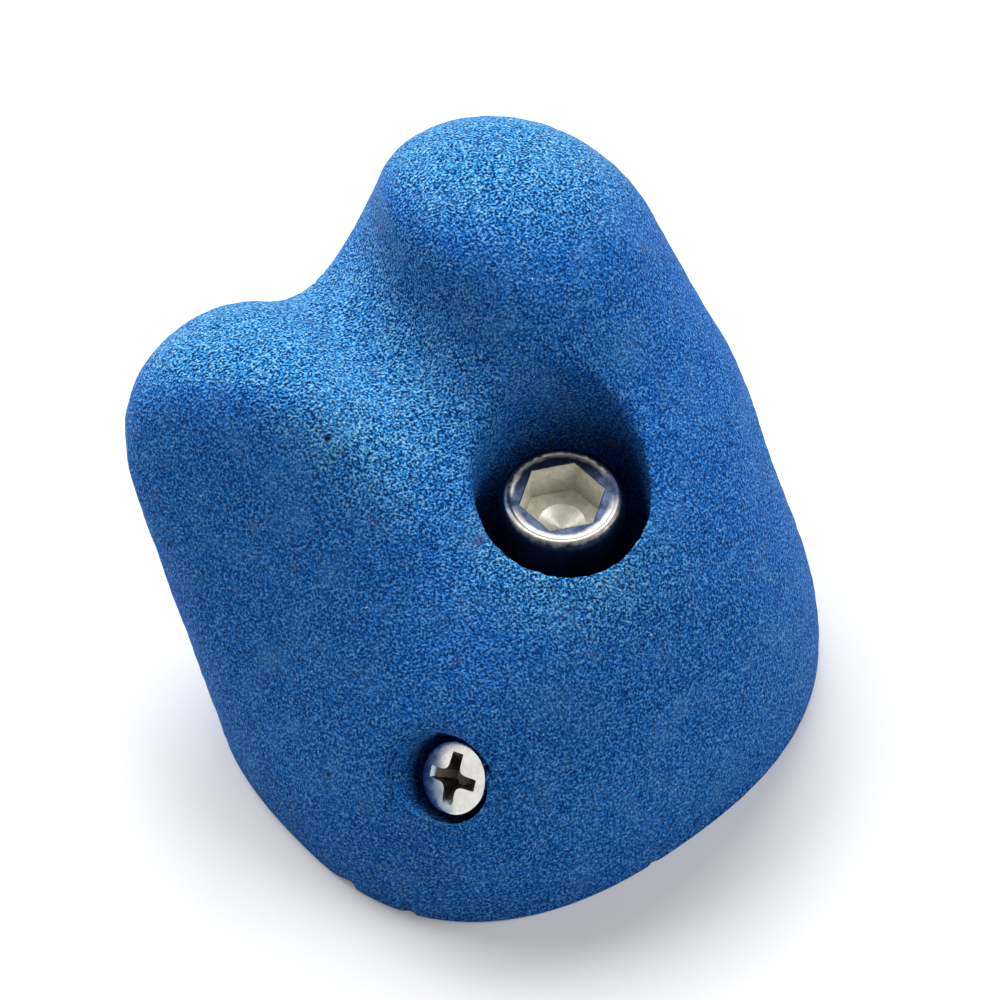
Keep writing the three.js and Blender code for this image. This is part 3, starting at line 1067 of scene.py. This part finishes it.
def metalGroup():
    look = metalWear
    group = bpy.data.node_groups.new("worn_metal", "ShaderNodeTree")
    for direction, sockets in (
        ("INPUT", {"Vector": "Vector", "Bright": "Color", "Dull": "Color"}),
        ("INPUT", {"Smooth": "Float", "Rough": "Float", "Relief": "Float"}),
        ("OUTPUT", {"Color": "Color", "Roughness": "Float", "Normal": "Vector"}),
    ):
        for name, kind in sockets.items():
            group.interface.new_socket(name=name, in_out=direction, socket_type="NodeSocket" + kind)
    given = addNode(group, "NodeGroupInput").outputs
    place = given["Vector"]
    stain = patches(group, place, look["smudgeTexture"], look["smudgeRange"])
    stretched = {"Vector": place, "Scale": look["scratchStretch"], "Rotation": look["scratchTurn"]}
    streaked = addNode(group, "ShaderNodeMapping", stretched).outputs["Vector"]
    scratch = patches(group, streaked, look["scratchTexture"], look["scratchRange"])
    span = combined(group, "SUBTRACT", given["Rough"], given["Smooth"])
    wear = combined(group, "MAXIMUM", stain, product(group, scratch, look["scratchWear"]))
    rough = combined(group, "ADD", given["Smooth"], product(group, wear, span))
    pitted = product(group, noise(group, place, *look["pitTexture"]), look["pitHeight"])
    bump = addNode(group, "ShaderNodeBump", {
        "Strength": given["Relief"],
        "Distance": look["bumpDistance"] * mm,
        "Height": combined(group, "SUBTRACT", pitted, scratch),
    })
    colour = mixed(group, stain, given["Bright"], given["Dull"])
    result = {"Color": colour, "Roughness": rough, "Normal": bump.outputs["Normal"]}
    addNode(group, "NodeGroupOutput", result)
    return group


wornMetal = metalGroup()


def metalMaterial(name, bright, dull, smooth, rough, relief):
    material, tree, surface = newMaterial(name)
    place = millimetres(tree)
    wear = addNode(tree, "ShaderNodeGroup", {
        "Vector": place, "Bright": bright, "Dull": dull, "Smooth": smooth, "Rough": rough, "Relief": relief,
    }, node_tree=wornMetal).outputs
    setInputs(tree, surface, {
        "Base Color": wear["Color"],
        "Roughness": wear["Roughness"],
        "Normal": wear["Normal"],
        "Metallic": 1,
    })
    return material, tree, surface, wear, place


# Bolt: a head painted dark, a painted reflection of the dark blue recess round it, with a painted highlight
# on its near rim and a thin painted highlight on its far edge, a plain shank, and a matt socket painted
# pale as a lit copy of the metal, with painted shade down its walls towards their foot. A metal is two
# colours, two roughnesses and a relief. A depth is measured down from the top of the head, and a climb up
# from the socket's floor.
boltLook = {
    # The head's colours are painted dark, a painted reflection of the dark blue recess round the head.
    "head": ((0.026, 0.036, 0.062), (0.01, 0.015, 0.03), 0.3, 0.45, 0.6),
    "rimHighlight": (0.36, 0.34, 0.3),
    # Painted highlights on the head's rim: a band on the near side and a thin one on the far side.
    "bands": (
        {"side": (-0.6, -0.8, 0), "radius": 6.75, "fade": (0.95, 0.15), "cosine": (0.1, 0.65)},
        {"side": (0.5, 0.86, 0), "radius": 6.45, "fade": (0.418, 0.066), "cosine": (0.2, 0.5)},
    ),
    "bandDepth": (1.3, 0.7),
    "frayTexture": (1.1, 2.0, 0.5),
    "frayRange": (0, 1, -0.35, 0.35),
    "shank": (0.4, 0.39, 0.36),
    "shankClimb": (-2.6, -3.0),
    "innerRadius": (6.0, 5.8),
    # The socket is painted pale, a lit copy of the metal, and its walls get painted shade towards their
    # foot.
    "socket": (1.0, 0.97, 0.86),
    "socketDepth": (0.2, 0.35),
    "socketStained": (0.72, 0.698, 0.619),
    "stainTexture": (0.9, 4.0, 0.7),
    "stainRange": (0.35, 0.65),
    # Painted shade colour at the foot of the socket's walls.
    "socketFootShade": (0.2, 0.19, 0.15),
    "cornerClimb": (0.45, 0.1),
    "wallClimb": (4.5, 0.3, 0.0, 0.7),
    "floorClimb": (0.02, 0.06),
    "socketShine": 0.35,
    "socketRoughness": 0.3,
}


def rimHighlightShare(tree, place, radius, frayed, band):
    # A painted highlight: a band round the bolt's axis at one radius, which fades out away from one side.
    away = combined(tree, "ABSOLUTE", combined(tree, "SUBTRACT", frayed, band["radius"]), 0)
    onSide = ranged(tree, cosineTo(tree, place, band["side"], radius), *band["cosine"])
    return product(tree, ranged(tree, away, *band["fade"]), onSide)


def socketColour(tree, place, climb):
    # Painted pale as a lit copy of the metal, with stains, and painted shade that darkens down the walls
    # and most in the corner at their foot. The floor stays pale.
    look = boltLook
    stain = patches(tree, place, look["stainTexture"], look["stainRange"])
    pale = mixed(tree, stain, look["socketStained"], look["socket"])
    corner = ranged(tree, climb, *look["cornerClimb"])
    wall = ranged(tree, climb, *look["wallClimb"])
    aboveFloor = ranged(tree, climb, *look["floorClimb"])
    shade = product(tree, combined(tree, "MAXIMUM", corner, wall), aboveFloor)
    return mixed(tree, shade, pale, look["socketFootShade"])


def boltMaterial():
    material, tree, surface, wear, place = metalMaterial("bolt_zinc_plate", *boltLook["head"])
    look = boltLook
    top = boltBox[1][2]
    socketFloor = top - boltShape["dishDepth"] - boltShape["socketDepth"]
    radius = fromAxis(tree, place, (0, 0, 0), (0, 0, 1))
    depth = alongDirection(tree, place, (0, 0, top), (0, 0, -1))
    climb = alongDirection(tree, place, (0, 0, socketFloor), (0, 0, 1))
    colour = wear["Color"]
    frayed = combined(tree, "ADD", radius, patches(tree, place, look["frayTexture"], look["frayRange"]))
    upper = ranged(tree, depth, *look["bandDepth"])
    # Painted highlights on the head's rim.
    for band in look["bands"]:
        share = product(tree, rimHighlightShare(tree, place, radius, frayed, band), upper)
        colour = mixed(tree, share, colour, look["rimHighlight"])
    inner = ranged(tree, radius, *look["innerRadius"])
    inShank = ranged(tree, climb, *look["shankClimb"])
    colour = mixed(tree, product(tree, inShank, inner), colour, look["shank"])
    aboveShank = combined(tree, "SUBTRACT", 1.0, inShank)
    inSocket = product(tree, ranged(tree, depth, *look["socketDepth"]), inner, aboveShank)
    # The socket: painted pale as a lit copy, with painted shade towards the foot of its walls.
    colour = mixed(tree, inSocket, colour, socketColour(tree, place, climb))
    matt = product(tree, inSocket, look["socketRoughness"])
    setInputs(tree, surface, {
        "Base Color": colour,
        "Roughness": combined(tree, "MAXIMUM", wear["Roughness"], matt),
        "Metallic": ranged(tree, inSocket, 0, 1, 1, look["socketShine"]),
    })
    return material


# Screw: a bright worn head with a painted grey reflection on the side of the nearer corner, darker in its
# cross.
screwLook = {
    "head": ((1.0, 0.98, 0.93), (0.8, 0.78, 0.72), 0.15, 0.4, 0.8),
    # A painted reflection: the head's side towards the nearer corner is painted grey-blue.
    "reflectionGrey": (0.33, 0.4, 0.5),
    "reflectionSide": (-0.65, 0.65, -0.35),
    "reflectionRange": (0.3, 2.2),
    "reflectionTexture": (0.5, 3.0, 0.6),
    "reflectionWave": (0, 1, -1.5, 1.5),
    "crossDark": (0.1, 0.095, 0.07),
    "crossDepth": (0.05, 0.35),
    "crossRadius": (3.75, 3.65),
    "crossRoughness": 0.5,
}


def screwMaterial():
    material, tree, surface, wear, place = metalMaterial("screw_zinc_plate", *screwLook["head"])
    look = screwLook
    face, outwards = screwAxis()
    # Painted grey reflection on the side towards the nearer corner, with a wavy edge.
    side = alongDirection(tree, place, face, look["reflectionSide"])
    wavy = combined(tree, "ADD", side, patches(tree, place, look["reflectionTexture"], look["reflectionWave"]))
    reflectionShare = ranged(tree, wavy, *look["reflectionRange"])
    colour = mixed(tree, reflectionShare, wear["Color"], look["reflectionGrey"])
    # Darker and matter inside the cross.
    deep = ranged(tree, alongDirection(tree, place, face, -outwards), *look["crossDepth"])
    near = ranged(tree, fromAxis(tree, place, face, outwards), *look["crossRadius"])
    inCross = product(tree, deep, near)
    matt = product(tree, inCross, look["crossRoughness"])
    setInputs(tree, surface, {
        "Base Color": mixed(tree, inCross, colour, look["crossDark"]),
        "Roughness": combined(tree, "MAXIMUM", wear["Roughness"], matt),
    })
    return material


# Seat ring: plain rolled steel.
ringLook = {
    "steel": ((0.5, 0.5, 0.5), (0.3, 0.29, 0.28), 0.3, 0.5, 0.5),
}

for piece, material in (
    (resinBody, resinMaterial()),
    (wallBolt, boltMaterial()),
    (seatRing, metalMaterial("ring_plain_steel", *ringLook["steel"])[0]),
    (setScrew, screwMaterial()),
):
    piece.data.materials.clear()
    piece.data.materials.append(material)
print("materials assigned")


# Floor, sky and lamps. A softbox is its azimuth, its elevation and its power in watts.
stageLook = {
    "floorHalf": 6000,
    "floorDrop": 0.05,
    "floorColour": (0.82, 0.82, 0.82),
    "floorLift": 0.17,
    "skyStrength": 0.08,
    "lampDistance": 1200,
    "lampSize": 700,
    "softboxes": {
        "back_softbox": (180, 45, 11.2),
        "back_right_softbox": (135, 45, 11.4),
        "right_softbox": (45, 45, 4.6),
        "front_softbox": (0, 30, 1.6),
    },
}


def seenRays(tree):
    # One for what the camera sees, also in a reflection or through glass, and nothing for other light.
    path = addNode(tree, "ShaderNodeLightPath").outputs
    either = combined(tree, "MAXIMUM", path["Is Camera Ray"], path["Is Glossy Ray"])
    return combined(tree, "MAXIMUM", either, path["Is Transmission Ray"])


def makeFloor():
    half = stageLook["floorHalf"] * mm
    corners = [(-half, -half), (half, -half), (half, half), (-half, half)]
    mesh = bpy.data.meshes.new("floor")
    mesh.from_pydata([(x, y, -stageLook["floorDrop"] * mm) for x, y in corners], [], [(0, 1, 2, 3)])
    floor = addObject("floor", mesh)
    material = bpy.data.materials.new("white_floor")
    tree = emptyTree(material)
    paper = addNode(tree, "ShaderNodeBsdfDiffuse", {"Color": stageLook["floorColour"]}).outputs["BSDF"]
    lift = product(tree, seenRays(tree), stageLook["floorLift"])
    glow = addNode(tree, "ShaderNodeEmission", {"Strength": lift}).outputs["Emission"]
    both = addNode(tree, "ShaderNodeAddShader", {0: paper, 1: glow}).outputs["Shader"]
    addNode(tree, "ShaderNodeOutputMaterial", {"Surface": both})
    mesh.materials.append(material)


def makeSky():
    sky = bpy.data.worlds.new("sky")
    bpy.context.scene.world = sky
    tree = emptyTree(sky)
    strength = ranged(tree, seenRays(tree), 0, 1, stageLook["skyStrength"], 1)
    glow = addNode(tree, "ShaderNodeBackground", {"Strength": strength}).outputs["Background"]
    addNode(tree, "ShaderNodeOutputWorld", {"Surface": glow})


def makeLamps():
    centre = (Vector(cadBox[0]) + Vector(cadBox[1])) / 2
    for name, (azimuth, elevation, power) in stageLook["softboxes"].items():
        back = seenFrom(azimuth, elevation)
        light = bpy.data.lights.new(name, "AREA")
        light.shape = "DISK"
        light.size = stageLook["lampSize"] * mm
        light.energy = power
        lamp = addObject(name, light)
        lamp.location = centre + back * stageLook["lampDistance"] * mm
        lamp.rotation_euler = (-back).to_track_quat("-Z", "Y").to_euler()


makeFloor()
makeSky()
makeLamps()
bpy.context.scene.view_settings.view_transform = "Standard"
print("floor, sky and lamps placed")
